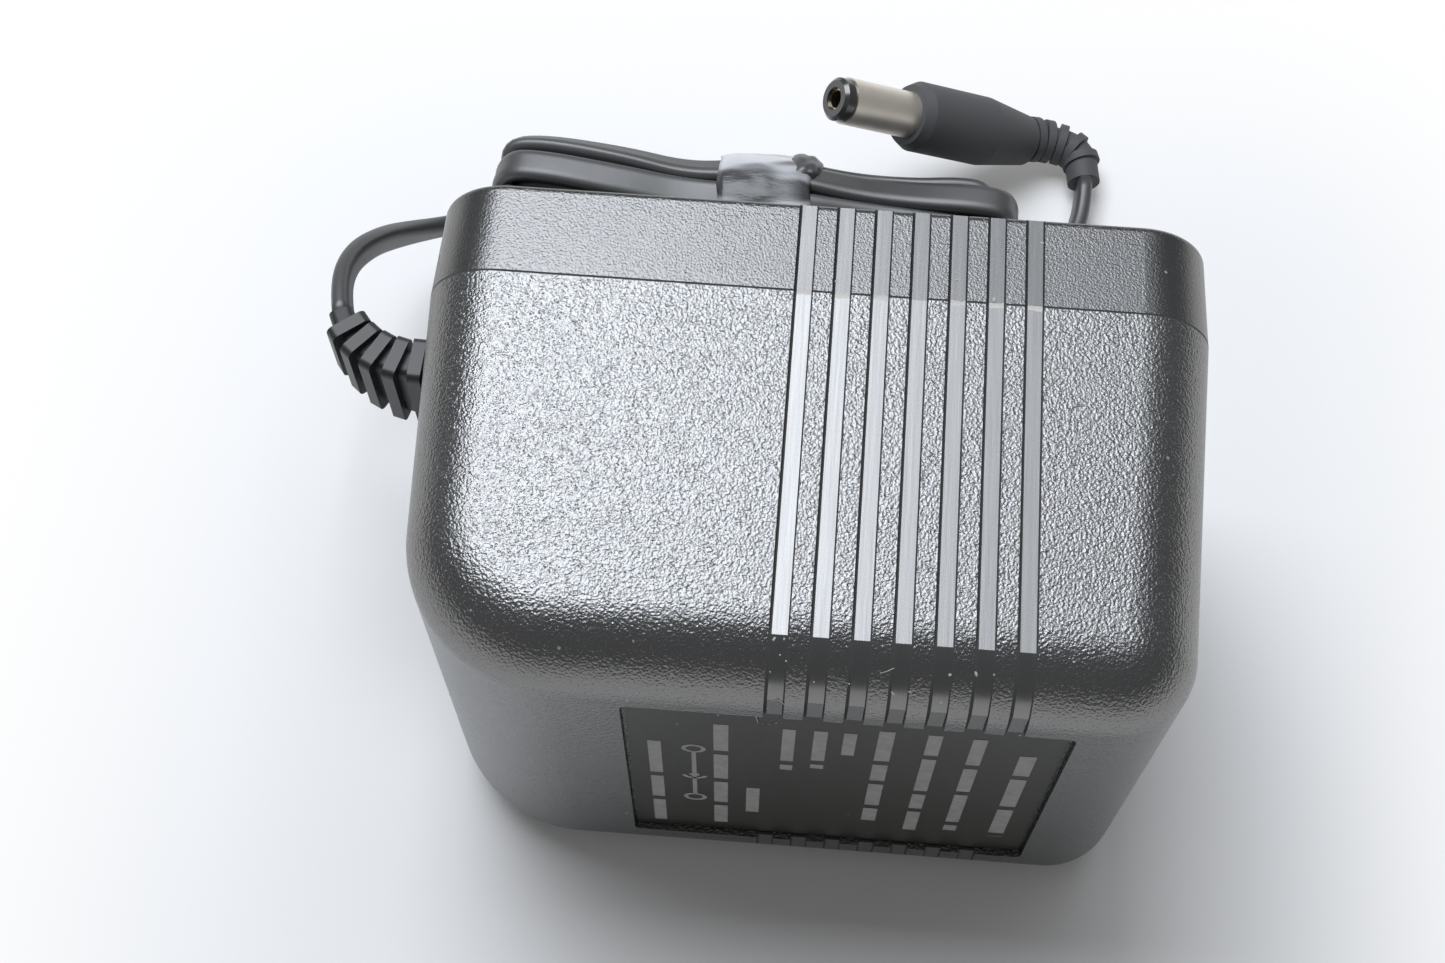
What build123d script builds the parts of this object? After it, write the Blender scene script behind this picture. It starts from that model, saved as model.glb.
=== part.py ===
from build123d import *
from math import radians, tan
import os

# A plug-in power adapter with its cord, in millimetres, +Z up.
# It lies on one ribbed side wall: X runs along the case from the cord end to the far end,
# Y from the label face to the blade tips. The origin is under the middle of the case and blades.

# Case
case_length = 73.0
case_height = 57.0
shell_depth = 37.8
cover_depth = 9.7
wall = 2.2
end_draft = 2.7
side_draft = 1.0
cover_draft = 1.8
edge_radius = 7.0
cord_end_radius = 14.5
far_end_radius = 7.4
cover_rim_radius = 0.9

# Grooves round both ribbed walls
groove_count = 7
groove_pitch = 3.5
groove_width = 1.72
groove_depth = 0.35
groove_centre_x = 9.0

# Label and its recess
label_width = 40.0
label_height = 38.9
label_centre_x = 5.0
label_recess = 0.9
label_corner = 0.8
label_margin = 0.3
label_thickness = 0.25

# Lip of the cover inside the shell
lip_thickness = 1.1
lip_reach = 2.0
fit_clearance = 0.2

# Blades, and the plate that holds them under the prong face
blade_reach = 17.0
blade_width = 6.35
blade_thickness = 1.52
blade_z = 16.0
blade_pitch = 12.7
blade_tip_chamfer = 1.2
blade_edge_chamfer = 0.35
blade_hole_diameter = 3.2
blade_hole_from_face = 11.9
slot_clearance = 0.05
shoulder_width = 9.0
shoulder_depth = 2.0
tail_width = 4.0
retainer_end = 3.0
retainer_width = 13.0
retainer_thickness = 2.0
post_diameter = 2.4
post_spacing = 25.0
post_head_diameter = 3.8
post_head = 0.6

# Transformer: a stack of E and I plates, a bobbin with two windings, and its pins
core_side_gap = 2.3
core_from_far_end = 5.5
core_from_label = 10.75
bobbin_wall = 1.0
bobbin_clearance = 0.2
winding_below_flange = 0.9
flange_over_tape = 0.3
winding_corner = 4.0
tape_thickness = 0.3
rail_thickness = 3.0
rail_length = 28.0
pin_diameter = 0.8
pin_spacing = 13.0
pin_from_rail_top = 2.0
pin_depth = 2.0
pin_past_wire = 0.4

# Rests that hold the transformer and the board in the housing
rest_size = 4.0
rest_gap = 0.1
side_rib = 1.6
board_rail = 1.2
board_grip = 1.2

# Circuit board and what is on it
board_thickness = 1.6
board_from_core = 3.0
board_from_label = 10.25
board_past_coil = 0.5
board_side_gap = 7.0
hole_clearance = 0.1
lead_diameter = 0.6
lead_stub = 1.0
capacitor_diameter = 10.0
capacitor_end_gap = 3.5
capacitor_standoff = 0.3
capacitor_lead_pitch = 5.0
capacitor_below_board_middle = 4.5
capacitor_above_middle = 7.5
capacitor_edge = 0.6
diode_count = 4
diode_pitch = 4.5
diode_diameter = 2.7
diode_length = 5.2
diode_span = 10.0
diode_rise = 1.8
diode_from_board_edge = 10.0

# Wires inside
wire_diameter = 1.2
wire_bend = 2.5
wire_over_coil = 1.6
wire_below_heads = 1.15
fuse_diameter = 2.4
fuse_length = 8.0
fuse_lead = 2.5
fuse_from_pin = 14.3
output_pad_above_board_middle = 8.9
output_pad_spacing = 4.0
output_wire_spacing = 2.2

# Strain relief
relief_width = 5.3
relief_height = 12.0
relief_tip_width = 4.4
relief_tip_height = 7.6
relief_corner = 0.8
neck_width = 4.6
neck_height = 10.4
flange_thickness = 1.6
flange_width = 6.0
flange_height = 13.4
relief_gap = 0.1
flange_gap = 0.25
relief_run = 3.4
relief_turn_radius = 10.5
relief_turn = 65.0
relief_end_run = 0.6
rib_count = 6
rib_pitch = 2.3
rib_first = 1.5
rib_thickness = 1.35
rib_groove_depth = 0.9

# Cord: its route from the relief to the hank, and from the tail of the plug to the hank
cord_tube_diameter = 2.6
cord_route_after_relief = [
    (-51.1, 19.0, 27.5),
    (-51.3, 24.4, 24.9),
    (-49.8, 29.2, 21.0),
    (-48.2, 33.8, 15.4),
    (-45.6, 38.0, 10.4),
    (-40.6, 41.6, 7.4),
    (-35.6, 43.2, 7.0),
]
lead_route_after_tail = [
    (32.0, 50.6, 2.4),
    (29.8, 45.6, 2.6),
    (25.0, 42.2, 3.8),
    (20.4, 41.8, 5.6),
]

# Hank, as radii along its length, and its tie
hank_y = 43.8
hank_axis_z = 8.5
hank_profile = [
    (-40.0, 3.6),
    (-38.2, 7.0),
    (-34.6, 8.2),
    (-29.2, 8.3),
    (-16.5, 6.0),
    (-10.0, 6.9),
    (-3.0, 6.9),
    (3.2, 5.8),
    (11.0, 5.8),
    (18.6, 6.7),
    (22.0, 6.2),
    (23.2, 3.8),
]
tie_x = -6.5
tie_width = 6.5
tie_bore_radius = 7.0
tie_thickness = 0.9
tie_twist_length = 7.0
tie_twist_diameter = 2.2

# Plug on the end of the cord
plug_rear = (24.4, 60.4, 4.0)
plug_tip = (0.4, 53.4, 20.0)
sleeve_diameter = 5.5
sleeve_wall = 0.35
sleeve_reach = 9.5
sleeve_root = 3.0
sleeve_step = 0.2
nose_length = 1.6
nose_edge = 0.4
nose_step = 0.2
contact_bore = 2.1
contact_wall = 0.3
contact_recess = 0.4
socket_depth = 9.0
grip_front_radius = 3.6
grip_radius = 4.2
grip_rear_radius = 3.1
grip_waist = 7.0
grip_collar = 1.2
tail_root = 2.0
tail_route = [(27.2, 61.2, 3.2), (31.6, 60.2, 2.8), (32.2, 55.6, 2.6)]
tail_radius = 2.0
tail_ring_count = 5
tail_ring_first = 3.2
tail_ring_pitch = 1.8
tail_ring_width = 1.0
tail_ring_first_radius = 2.8
tail_ring_last_radius = 2.35

# Places worked out from the sizes
overall_depth = shell_depth + cover_depth + blade_reach
label_y = -overall_depth / 2
part_y = label_y + shell_depth
prong_y = part_y + cover_depth
cover_floor_y = prong_y - wall
shoulder_y = cover_floor_y - shoulder_depth
retainer_y = shoulder_y - retainer_thickness
mid_z = case_height / 2
core_width = case_height - 2 * (wall + core_side_gap)
leg_width = core_width / 6
core_right_x = case_length / 2 - core_from_far_end
core_left_x = core_right_x - 5 * leg_width
window_left_x = core_left_x + leg_width
window_right_x = core_right_x - leg_width
wire_y = retainer_y - post_head - wire_below_heads
coil_top_y = wire_y - wire_over_coil
winding_build = leg_width - 2 * bobbin_clearance - bobbin_wall - tape_thickness - winding_below_flange
flange_reach = winding_build + tape_thickness + flange_over_tape
core_front_y = label_y + core_from_label
core_back_y = coil_top_y - flange_reach - bobbin_wall - bobbin_clearance
core_y = (core_front_y + core_back_y) / 2
stack_thickness = core_back_y - core_front_y
coil_left_x = window_left_x + bobbin_clearance
coil_right_x = window_right_x - bobbin_clearance
bore_half_y = stack_thickness / 2 + bobbin_clearance
bore_half_z = leg_width + bobbin_clearance
tube_half_y = bore_half_y + bobbin_wall
tube_half_z = bore_half_z + bobbin_wall
flange_half_y = tube_half_y + flange_reach
flange_half_z = 2 * leg_width - bobbin_clearance
winding_length = (coil_right_x - coil_left_x - 3 * bobbin_wall) / 2
secondary_x = coil_left_x + bobbin_wall
primary_x = coil_right_x - bobbin_wall - winding_length
pin_y = coil_top_y - pin_from_rail_top
primary_pin_x = coil_right_x + rail_thickness / 2
pin_heights = (mid_z - pin_spacing / 2, mid_z + pin_spacing / 2)
board_back_x = core_left_x - board_from_core
board_face_x = board_back_x - board_thickness
board_low_y = label_y + board_from_label
board_high_y = coil_top_y + board_past_coil
board_y = (board_low_y + board_high_y) / 2
board_low_z = board_side_gap
board_high_z = case_height - board_side_gap
capacitor_y = board_y - capacitor_below_board_middle
capacitor_z = mid_z + capacitor_above_middle
diode_z = board_low_z + diode_from_board_edge
relief_y = part_y + fit_clearance + neck_width / 2
relief_start = Vector(-case_length / 2 - relief_gap, relief_y, mid_z)
flange_x = -case_length / 2 + wall + flange_gap
rest_places = [
    (x, z)
    for x in (core_left_x + leg_width / 2, core_right_x - leg_width / 2)
    for z in (mid_z - core_width / 2 + rest_size / 2, mid_z + core_width / 2 - rest_size / 2)
]
rib_top_y = part_y - lip_reach - fit_clearance
plug_axis = (Vector(*plug_tip) - Vector(*plug_rear)).normalized()
plug_side = Vector(0, 0, 1).cross(plug_axis).normalized()
plug_length = (Vector(*plug_tip) - Vector(*plug_rear)).length
grip_length = plug_length - sleeve_reach - nose_length

os.makedirs("parts", exist_ok=True)


def end_x(y, inset):
    """Half the length of the shell at the depth y, inside a wall of the thickness inset."""
    return case_length / 2 - inset - (part_y - y) * tan(radians(end_draft))


def side_z(y, inset):
    """Half the height of the shell at the depth y, inside a wall of the thickness inset."""
    return case_height / 2 - inset - (part_y - y) * tan(radians(side_draft))


def deep_form(inset):
    """The deep half as a solid block, or the space inside it when inset by its wall."""
    front = label_y + inset
    with BuildPart() as form:
        with BuildSketch(Plane.XY) as plan:
            with BuildLine():
                Polyline(
                    (-end_x(part_y, inset), part_y),
                    (-end_x(front, inset), front),
                    (end_x(front, inset), front),
                    (end_x(part_y, inset), part_y),
                    close=True,
                )
            make_face()
            fillet(plan.vertices().group_by(Axis.Y)[0].sort_by(Axis.X)[0], cord_end_radius - inset)
            fillet(plan.vertices().group_by(Axis.Y)[0].sort_by(Axis.X)[-1], far_end_radius - inset)
        extrude(amount=case_height)
        with BuildSketch(Plane.YZ):
            with BuildLine():
                Polyline(
                    (part_y, mid_z - side_z(part_y, inset)),
                    (part_y, mid_z + side_z(part_y, inset)),
                    (front, mid_z + side_z(front, inset)),
                    (front, mid_z - side_z(front, inset)),
                    close=True,
                )
            make_face()
        extrude(amount=case_length, both=True, mode=Mode.INTERSECT)
        long_edges = form.faces().sort_by(Axis.Z)[-1].edges() + form.faces().sort_by(Axis.Z)[0].edges()
        fillet([edge for edge in long_edges if edge.center().Y < part_y - 0.01], edge_radius - inset)
    return form.part


def across(y, x=0.0, z=mid_z):
    """A sketch plane across the case at the depth y, whose extrusions run toward the blade tips."""
    return Plane(origin=(x, y, z), x_dir=(-1, 0, 0), z_dir=(0, 1, 0))


def shallow_form(inset):
    """The shallow half as a solid block, or the space inside it when inset by its wall."""
    with BuildPart() as form:
        with BuildSketch(across(part_y)):
            RectangleRounded(case_length - 2 * inset, case_height - 2 * inset, edge_radius - inset)
        extrude(amount=cover_depth - inset, taper=cover_draft)
    return form.part


def block(x_limits, y_limits, z_limits):
    """A square block between three pairs of limits, for a rib, a post or a cut."""
    limits = (x_limits, y_limits, z_limits)
    with BuildPart() as solid:
        with Locations(tuple((low + high) / 2 for low, high in limits)):
            Box(*(high - low for low, high in limits))
    return solid.part


def wire(points, diameter, bend):
    """A round wire along straight runs, joined by arcs or by sharp bends, and the length of its path."""
    with BuildPart() as strand:
        with BuildLine() as path:
            if bend:
                FilletPolyline(*points, radius=bend)
            else:
                Polyline(*points)
        route = path.wires()[0]
        with BuildSketch(Plane(origin=route @ 0, z_dir=route % 0)):
            Circle(diameter / 2)
        sweep(path=route, transition=Transition.RIGHT)
    return strand.part, route.length


def route_radii(points):
    """For each corner of a route, 0.45 of its shorter run over the tangent of half the turn."""
    radii = []
    for before, corner, after in zip(points, points[1:], points[2:]):
        run_in = Vector(*corner) - Vector(*before)
        run_out = Vector(*after) - Vector(*corner)
        half_turn = radians(run_in.get_angle(run_out)) / 2
        radii.append(0.45 * min(run_in.length, run_out.length) / tan(half_turn))
    return radii


def cord_tube(name, points):
    """The tube of a stretch of cord, with its radii and its volume printed for a check."""
    radii = route_radii(points)
    tube, length = wire(points, cord_tube_diameter, radii)
    with BuildSketch() as section:
        Circle(cord_tube_diameter / 2)
    print(name, "radii", [round(radius, 1) for radius in radii])
    print(name, "volume over section times length", round(tube.volume / section.sketch.area / length, 4))
    return tube


def save(name, solid):
    """Label a finished piece and write it under its node's name."""
    solid.label = name
    export_step(solid, f"parts/{name}.step")


# Grooves: what lies outside the groove floor, in the shell up to the recess and in the cover
groove_floor = case_height / 2 - groove_depth
shell_floor_drop = shell_depth * tan(radians(side_draft))
overrun = 2.0
with BuildPart() as groove_in_shell:
    with BuildSketch(Plane.YZ.offset(-groove_width / 2)) as shell_band:
        with Locations(((label_y + part_y) / 2, mid_z)):
            Rectangle(shell_depth + overrun, case_height + 2 * overrun)
        with BuildLine():
            Polyline(
                (part_y + overrun, mid_z - groove_floor),
                (part_y + overrun, mid_z + groove_floor),
                (part_y, mid_z + groove_floor),
                (label_y + groove_depth, mid_z + groove_floor - shell_floor_drop),
                (label_y + groove_depth, mid_z - groove_floor + shell_floor_drop),
                (part_y, mid_z - groove_floor),
                close=True,
            )
        make_face(mode=Mode.SUBTRACT)
        floor_corners = shell_band.vertices().filter_by_position(
            Axis.Y, label_y + groove_depth - 0.01, label_y + groove_depth + 0.01
        )
        fillet(floor_corners, edge_radius - groove_depth)
        with Locations((label_y, mid_z)):
            Rectangle(2 * edge_radius, label_height, mode=Mode.SUBTRACT)
    extrude(amount=groove_width)

cover_floor_drop = (cover_depth + overrun) * tan(radians(cover_draft))
with BuildPart() as groove_in_cover:
    with BuildSketch(Plane.YZ.offset(-groove_width / 2)):
        with Locations(((part_y + prong_y) / 2, mid_z)):
            Rectangle(cover_depth + overrun, case_height + 2 * overrun)
        with BuildLine():
            Polyline(
                (part_y - overrun, mid_z - groove_floor),
                (part_y - overrun, mid_z + groove_floor),
                (part_y, mid_z + groove_floor),
                (prong_y + overrun, mid_z + groove_floor - cover_floor_drop),
                (prong_y + overrun, mid_z - groove_floor + cover_floor_drop),
                (part_y, mid_z - groove_floor),
                close=True,
            )
        make_face(mode=Mode.SUBTRACT)
    extrude(amount=groove_width)

# Ribs and posts inside the shell, which hold the transformer and the board
core_low_z = mid_z - core_width / 2
core_high_z = mid_z + core_width / 2
with BuildPart() as shell_rests:
    for x, z in rest_places:
        half = rest_size / 2
        add(block((x - half, x + half), (label_y, core_front_y - rest_gap), (z - half, z + half)))
    for x in (window_left_x + side_rib, window_right_x - side_rib):
        rib = (x - side_rib / 2, x + side_rib / 2)
        add(block(rib, (label_y, rib_top_y), (0, core_low_z - rest_gap)))
        add(block(rib, (label_y, rib_top_y), (core_high_z + rest_gap, case_height)))
    for z_limits in ((0, board_low_z + board_grip), (board_high_z - board_grip, case_height)):
        outer_rail = (board_face_x - rest_gap - board_rail, board_face_x - rest_gap)
        inner_rail = (board_back_x + rest_gap, core_left_x - rest_gap)
        add(block(outer_rail, (label_y, rib_top_y), z_limits))
        add(block(inner_rail, (label_y, rib_top_y), z_limits))
    for z in pin_heights:
        far_stop = (core_right_x + rest_gap, case_length / 2)
        add(block(far_stop, (label_y, rib_top_y), (z - side_rib / 2, z + side_rib / 2)))
    add(deep_form(wall / 2), mode=Mode.INTERSECT)

# Main shell: the hollow deep half, with its grooves and the recess of the label
with BuildPart() as main_shell:
    add(deep_form(0))
    add(deep_form(wall), mode=Mode.SUBTRACT)
    add(shell_rests.part)
    with Locations((groove_centre_x, 0, 0)):
        with GridLocations(groove_pitch, 1, groove_count, 1):
            add(groove_in_shell.part, mode=Mode.SUBTRACT)
    with BuildSketch(across(label_y, x=label_centre_x)):
        RectangleRounded(label_width, label_height, label_corner)
    extrude(amount=label_recess, mode=Mode.SUBTRACT)
save("main_shell", main_shell.part)

# Plug cover: the shallow half, with its lip, slots, posts and the opening for the cord
with BuildPart() as plug_cover:
    add(shallow_form(0))
    fillet(plug_cover.faces().sort_by(Axis.Y)[-1].edges(), cover_rim_radius)
    add(shallow_form(wall), mode=Mode.SUBTRACT)
    with Locations((groove_centre_x, 0, 0)):
        with GridLocations(groove_pitch, 1, groove_count, 1):
            add(groove_in_cover.part, mode=Mode.SUBTRACT)
    lip_outer = wall + fit_clearance
    lip_inner = lip_outer + lip_thickness
    for y_from, outer in ((part_y - lip_reach, lip_outer), (part_y, wall / 2)):
        with BuildSketch(across(y_from)):
            RectangleRounded(case_length - 2 * outer, case_height - 2 * outer, edge_radius - outer)
            RectangleRounded(
                case_length - 2 * lip_inner,
                case_height - 2 * lip_inner,
                edge_radius - lip_inner,
                mode=Mode.SUBTRACT,
            )
        extrude(amount=lip_reach)
    with BuildSketch(across(cover_floor_y, z=blade_z)):
        with GridLocations(blade_pitch, 1, 2, 1):
            Rectangle(blade_thickness + 2 * slot_clearance, blade_width + 2 * slot_clearance)
    extrude(amount=wall, mode=Mode.SUBTRACT)
    with BuildSketch(across(retainer_y, z=blade_z)):
        with GridLocations(post_spacing, 1, 2, 1):
            Circle(post_diameter / 2)
    extrude(amount=cover_floor_y - retainer_y)
    with BuildSketch(across(retainer_y - post_head, z=blade_z)):
        with GridLocations(post_spacing, 1, 2, 1):
            Circle(post_head_diameter / 2)
    extrude(amount=post_head)
    for x, z in rest_places:
        with BuildSketch(across(core_back_y + rest_gap, x=x, z=z)):
            Rectangle(rest_size, rest_size)
        extrude(amount=prong_y - wall / 2 - core_back_y - rest_gap)
    slot_top_y = relief_y + neck_width / 2 + fit_clearance
    slot_z = (mid_z - neck_height / 2 - fit_clearance, mid_z + neck_height / 2 + fit_clearance)
    add(block((-case_length, flange_x), (part_y - lip_reach, slot_top_y), slot_z), mode=Mode.SUBTRACT)
    pocket_x = (flange_x - rest_gap, flange_x + flange_thickness + lip_thickness)
    pocket_y = (part_y - lip_reach, relief_y + flange_width / 2 + fit_clearance)
    pocket_z = (mid_z - flange_height / 2 - fit_clearance, mid_z + flange_height / 2 + fit_clearance)
    add(block(pocket_x, pocket_y, pocket_z), mode=Mode.SUBTRACT)
save("plug_cover", plug_cover.part)

# Rating label: a bare plate on the floor of the recess
with BuildPart() as rating_label:
    with BuildSketch(across(label_y + label_recess, x=label_centre_x)):
        RectangleRounded(label_width - 2 * label_margin, label_height - 2 * label_margin, label_corner / 2)
    extrude(amount=-label_thickness)
save("rating_label", rating_label.part)


def blade(x):
    """A flat blade with a shoulder under the prong face and a tail to the wire."""
    tip_y = prong_y + blade_reach
    half = blade_width / 2
    with BuildPart() as solid:
        with BuildSketch(Plane.YZ.offset(x - blade_thickness / 2)) as outline:
            with Locations(((cover_floor_y + tip_y) / 2, blade_z)):
                Rectangle(tip_y - cover_floor_y, blade_width)
            chamfer(outline.vertices().group_by(Axis.X)[-1], blade_tip_chamfer)
            with Locations(((shoulder_y + cover_floor_y) / 2, blade_z)):
                Rectangle(shoulder_depth, shoulder_width)
            with Locations(((wire_y - wire_diameter / 2 + shoulder_y) / 2, blade_z)):
                Rectangle(shoulder_y - wire_y + wire_diameter / 2, tail_width)
            with Locations((prong_y + blade_hole_from_face, blade_z)):
                Circle(blade_hole_diameter / 2, mode=Mode.SUBTRACT)
        extrude(amount=blade_thickness)
        chamfer(solid.faces().sort_by(Axis.Y)[-1].edges().filter_by(Axis.Z), blade_edge_chamfer)
    return solid.part


save("left_blade", blade(-blade_pitch / 2))
save("right_blade", blade(blade_pitch / 2))

# Blade retainer: a plate over both tails, staked on the posts of the cover
with BuildPart() as blade_retainer:
    with BuildSketch(across(retainer_y, z=blade_z)):
        RectangleRounded(post_spacing + 2 * retainer_end, retainer_width, label_corner)
        with GridLocations(blade_pitch, 1, 2, 1):
            Rectangle(
                blade_thickness + 2 * slot_clearance, tail_width + 2 * slot_clearance, mode=Mode.SUBTRACT
            )
        with GridLocations(post_spacing, 1, 2, 1):
            Circle(post_diameter / 2 + hole_clearance, mode=Mode.SUBTRACT)
    extrude(amount=retainer_thickness)
save("blade_retainer", blade_retainer.part)

# Transformer core: the E plates round the coil, closed by the I plates
with BuildPart() as core_e_stack:
    add(block((core_left_x, window_right_x), (core_front_y, core_back_y), (core_low_z, core_high_z)))
    for side in (-1, 1):
        near_z = mid_z + side * leg_width
        far_z = mid_z + side * 2 * leg_width
        window_z = (min(near_z, far_z), max(near_z, far_z))
        add(block((window_left_x, window_right_x), (core_front_y, core_back_y), window_z), mode=Mode.SUBTRACT)
save("core_e_stack", core_e_stack.part)

with BuildPart() as core_i_stack:
    add(block((window_right_x, core_right_x), (core_front_y, core_back_y), (core_low_z, core_high_z)))
save("core_i_stack", core_i_stack.part)

# Bobbin: a square tube over the middle leg, with three flanges and two pin rails
with BuildPart() as bobbin:
    with BuildSketch(Plane(origin=(coil_left_x, core_y, mid_z), x_dir=(0, 1, 0), z_dir=(1, 0, 0))):
        Rectangle(2 * tube_half_y, 2 * tube_half_z)
    extrude(amount=coil_right_x - coil_left_x)
    for x in (coil_left_x, secondary_x + winding_length, coil_right_x - bobbin_wall):
        with BuildSketch(Plane(origin=(x, core_y, mid_z), x_dir=(0, 1, 0), z_dir=(1, 0, 0))):
            Rectangle(2 * flange_half_y, 2 * flange_half_z)
        extrude(amount=bobbin_wall)
    rail_y = (core_back_y + bobbin_clearance, coil_top_y)
    rail_z = (mid_z - rail_length / 2, mid_z + rail_length / 2)
    add(block((coil_left_x - rail_thickness, coil_left_x), rail_y, rail_z))
    add(block((coil_right_x, coil_right_x + rail_thickness), rail_y, rail_z))
    with BuildSketch(Plane(origin=(coil_left_x, core_y, mid_z), x_dir=(0, 1, 0), z_dir=(1, 0, 0))):
        Rectangle(2 * bore_half_y, 2 * bore_half_z)
    extrude(amount=coil_right_x - coil_left_x, mode=Mode.SUBTRACT)
    for z in pin_heights:
        with BuildSketch(Plane(origin=(coil_left_x - rail_thickness, pin_y, z), z_dir=(1, 0, 0))):
            Circle(pin_diameter / 2 + hole_clearance)
        extrude(amount=pin_depth, mode=Mode.SUBTRACT)
        with BuildSketch(across(coil_top_y - pin_depth, x=primary_pin_x, z=z)):
            Circle(pin_diameter / 2 + hole_clearance)
        extrude(amount=pin_depth, mode=Mode.SUBTRACT)
save("bobbin", bobbin.part)


def coil_ring(x, inner_build, outer_build):
    """A square ring over the tube of the bobbin, between two builds of winding."""
    with BuildPart() as ring:
        with BuildSketch(Plane(origin=(x, core_y, mid_z), x_dir=(0, 1, 0), z_dir=(1, 0, 0))):
            RectangleRounded(2 * (tube_half_y + outer_build), 2 * (tube_half_z + outer_build), winding_corner)
            if inner_build:
                RectangleRounded(
                    2 * (tube_half_y + inner_build),
                    2 * (tube_half_z + inner_build),
                    winding_corner - outer_build + inner_build,
                    mode=Mode.SUBTRACT,
                )
            else:
                Rectangle(2 * tube_half_y, 2 * tube_half_z, mode=Mode.SUBTRACT)
        extrude(amount=winding_length)
    return ring.part


# Windings, each under a wrap of tape
for name, x in (("secondary", secondary_x), ("primary", primary_x)):
    save(name + "_winding", coil_ring(x, 0, winding_build))
    save(name + "_tape", coil_ring(x, winding_build, winding_build + tape_thickness))

# Pins: the secondary ones reach through the board, the primary ones up to their wires
for number, z in enumerate(pin_heights, start=1):
    secondary_end = (board_face_x - lead_stub, pin_y, z)
    secondary_start = (coil_left_x - rail_thickness + pin_depth, pin_y, z)
    secondary_pin, _ = wire([secondary_start, secondary_end], pin_diameter, 0)
    save(f"secondary_pin_{number}", secondary_pin)
    primary_end = (primary_pin_x, wire_y + pin_past_wire, z)
    primary_pin, _ = wire([(primary_pin_x, coil_top_y - pin_depth, z), primary_end], pin_diameter, 0)
    save(f"primary_pin_{number}", primary_pin)

# Thermal fuse and the mains wires between the blades and the primary pins
fuse_z = pin_heights[1]
fuse_centre_x = primary_pin_x - fuse_from_pin
fuse_ends = (fuse_centre_x - fuse_length / 2 - fuse_lead, fuse_centre_x + fuse_length / 2 + fuse_lead)
fuse_lead_wire, _ = wire([(fuse_ends[0], wire_y, fuse_z), (fuse_ends[1], wire_y, fuse_z)], lead_diameter, 0)
with BuildPart() as thermal_fuse:
    add(fuse_lead_wire)
    with BuildSketch(Plane(origin=(fuse_centre_x - fuse_length / 2, wire_y, fuse_z), z_dir=(1, 0, 0))):
        Circle(fuse_diameter / 2)
    extrude(amount=fuse_length)
save("thermal_fuse", thermal_fuse.part)

tail_x = blade_pitch / 2
tail_top_z = blade_z + tail_width / 2
pin_edge_x = primary_pin_x - pin_diameter / 2
line_points = [(-tail_x, wire_y, tail_top_z), (-tail_x, wire_y, fuse_z), (fuse_ends[0], wire_y, fuse_z)]
neutral_start_x = tail_x + blade_thickness / 2
neutral_middle_x = (neutral_start_x + pin_edge_x) / 2
neutral_rise = pin_heights[0] - blade_z
neutral_points = [
    (neutral_start_x, wire_y, blade_z),
    (neutral_middle_x - neutral_rise / 2, wire_y, blade_z),
    (neutral_middle_x + neutral_rise / 2, wire_y, pin_heights[0]),
    (pin_edge_x, wire_y, pin_heights[0]),
]
line_lead, _ = wire(line_points, wire_diameter, wire_bend)
save("line_lead", line_lead)
fuse_wire, _ = wire([(fuse_ends[1], wire_y, fuse_z), (pin_edge_x, wire_y, fuse_z)], wire_diameter, 0)
save("fuse_lead", fuse_wire)
neutral_lead, _ = wire(neutral_points, wire_diameter, min(wire_bend, neutral_rise))
save("neutral_lead", neutral_lead)

# Circuit board, with holes for the pins and leads
diode_places = [board_y + (i - (diode_count - 1) / 2) * diode_pitch for i in range(diode_count)]
diode_ends = (diode_z - diode_span / 2, diode_z + diode_span / 2)
capacitor_leads = (capacitor_z - capacitor_lead_pitch / 2, capacitor_z + capacitor_lead_pitch / 2)
lead_holes = [(y, z) for y in diode_places for z in diode_ends] + [(capacitor_y, z) for z in capacitor_leads]
with BuildPart() as circuit_board:
    add(block((board_face_x, board_back_x), (board_low_y, board_high_y), (board_low_z, board_high_z)))
    with BuildSketch(Plane(origin=(board_face_x, 0, 0), x_dir=(0, 1, 0), z_dir=(1, 0, 0))):
        with Locations(*lead_holes):
            Circle(lead_diameter / 2 + hole_clearance)
        with Locations(*[(pin_y, z) for z in pin_heights]):
            Circle(pin_diameter / 2 + hole_clearance)
    extrude(amount=board_thickness, mode=Mode.SUBTRACT)
save("circuit_board", circuit_board.part)

# Smoothing capacitor, standing off the board toward the cord end
inner_end_x = -end_x(capacitor_y, wall)
capacitor_base_x = board_face_x - capacitor_standoff
with BuildPart() as smoothing_capacitor:
    base = Plane(origin=(capacitor_base_x, capacitor_y, capacitor_z), x_dir=(0, 0, 1), z_dir=(-1, 0, 0))
    with BuildSketch(base):
        Circle(capacitor_diameter / 2)
    extrude(amount=capacitor_base_x - inner_end_x - capacitor_end_gap)
    chamfer(smoothing_capacitor.edges().filter_by(GeomType.CIRCLE), capacitor_edge)
    with BuildSketch(base):
        with GridLocations(capacitor_lead_pitch, 1, 2, 1):
            Circle(lead_diameter / 2)
    extrude(amount=-(capacitor_standoff + board_thickness + lead_stub))
save("smoothing_capacitor", smoothing_capacitor.part)

# Rectifier: diodes side by side, their leads bent through the board
diode_x = board_face_x - diode_rise
lead_tip_x = board_back_x + lead_stub
for number, y in enumerate(diode_places, start=1):
    low, high = diode_ends
    lead_points = [(lead_tip_x, y, low), (diode_x, y, low), (diode_x, y, high), (lead_tip_x, y, high)]
    lead, _ = wire(lead_points, lead_diameter, 0)
    with BuildPart() as rectifier_diode:
        add(lead)
        with BuildSketch(Plane.XY.offset(diode_z - diode_length / 2)):
            with Locations((diode_x, y)):
                Circle(diode_diameter / 2)
        extrude(amount=diode_length)
    save(f"rectifier_diode_{number}", rectifier_diode.part)

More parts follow.
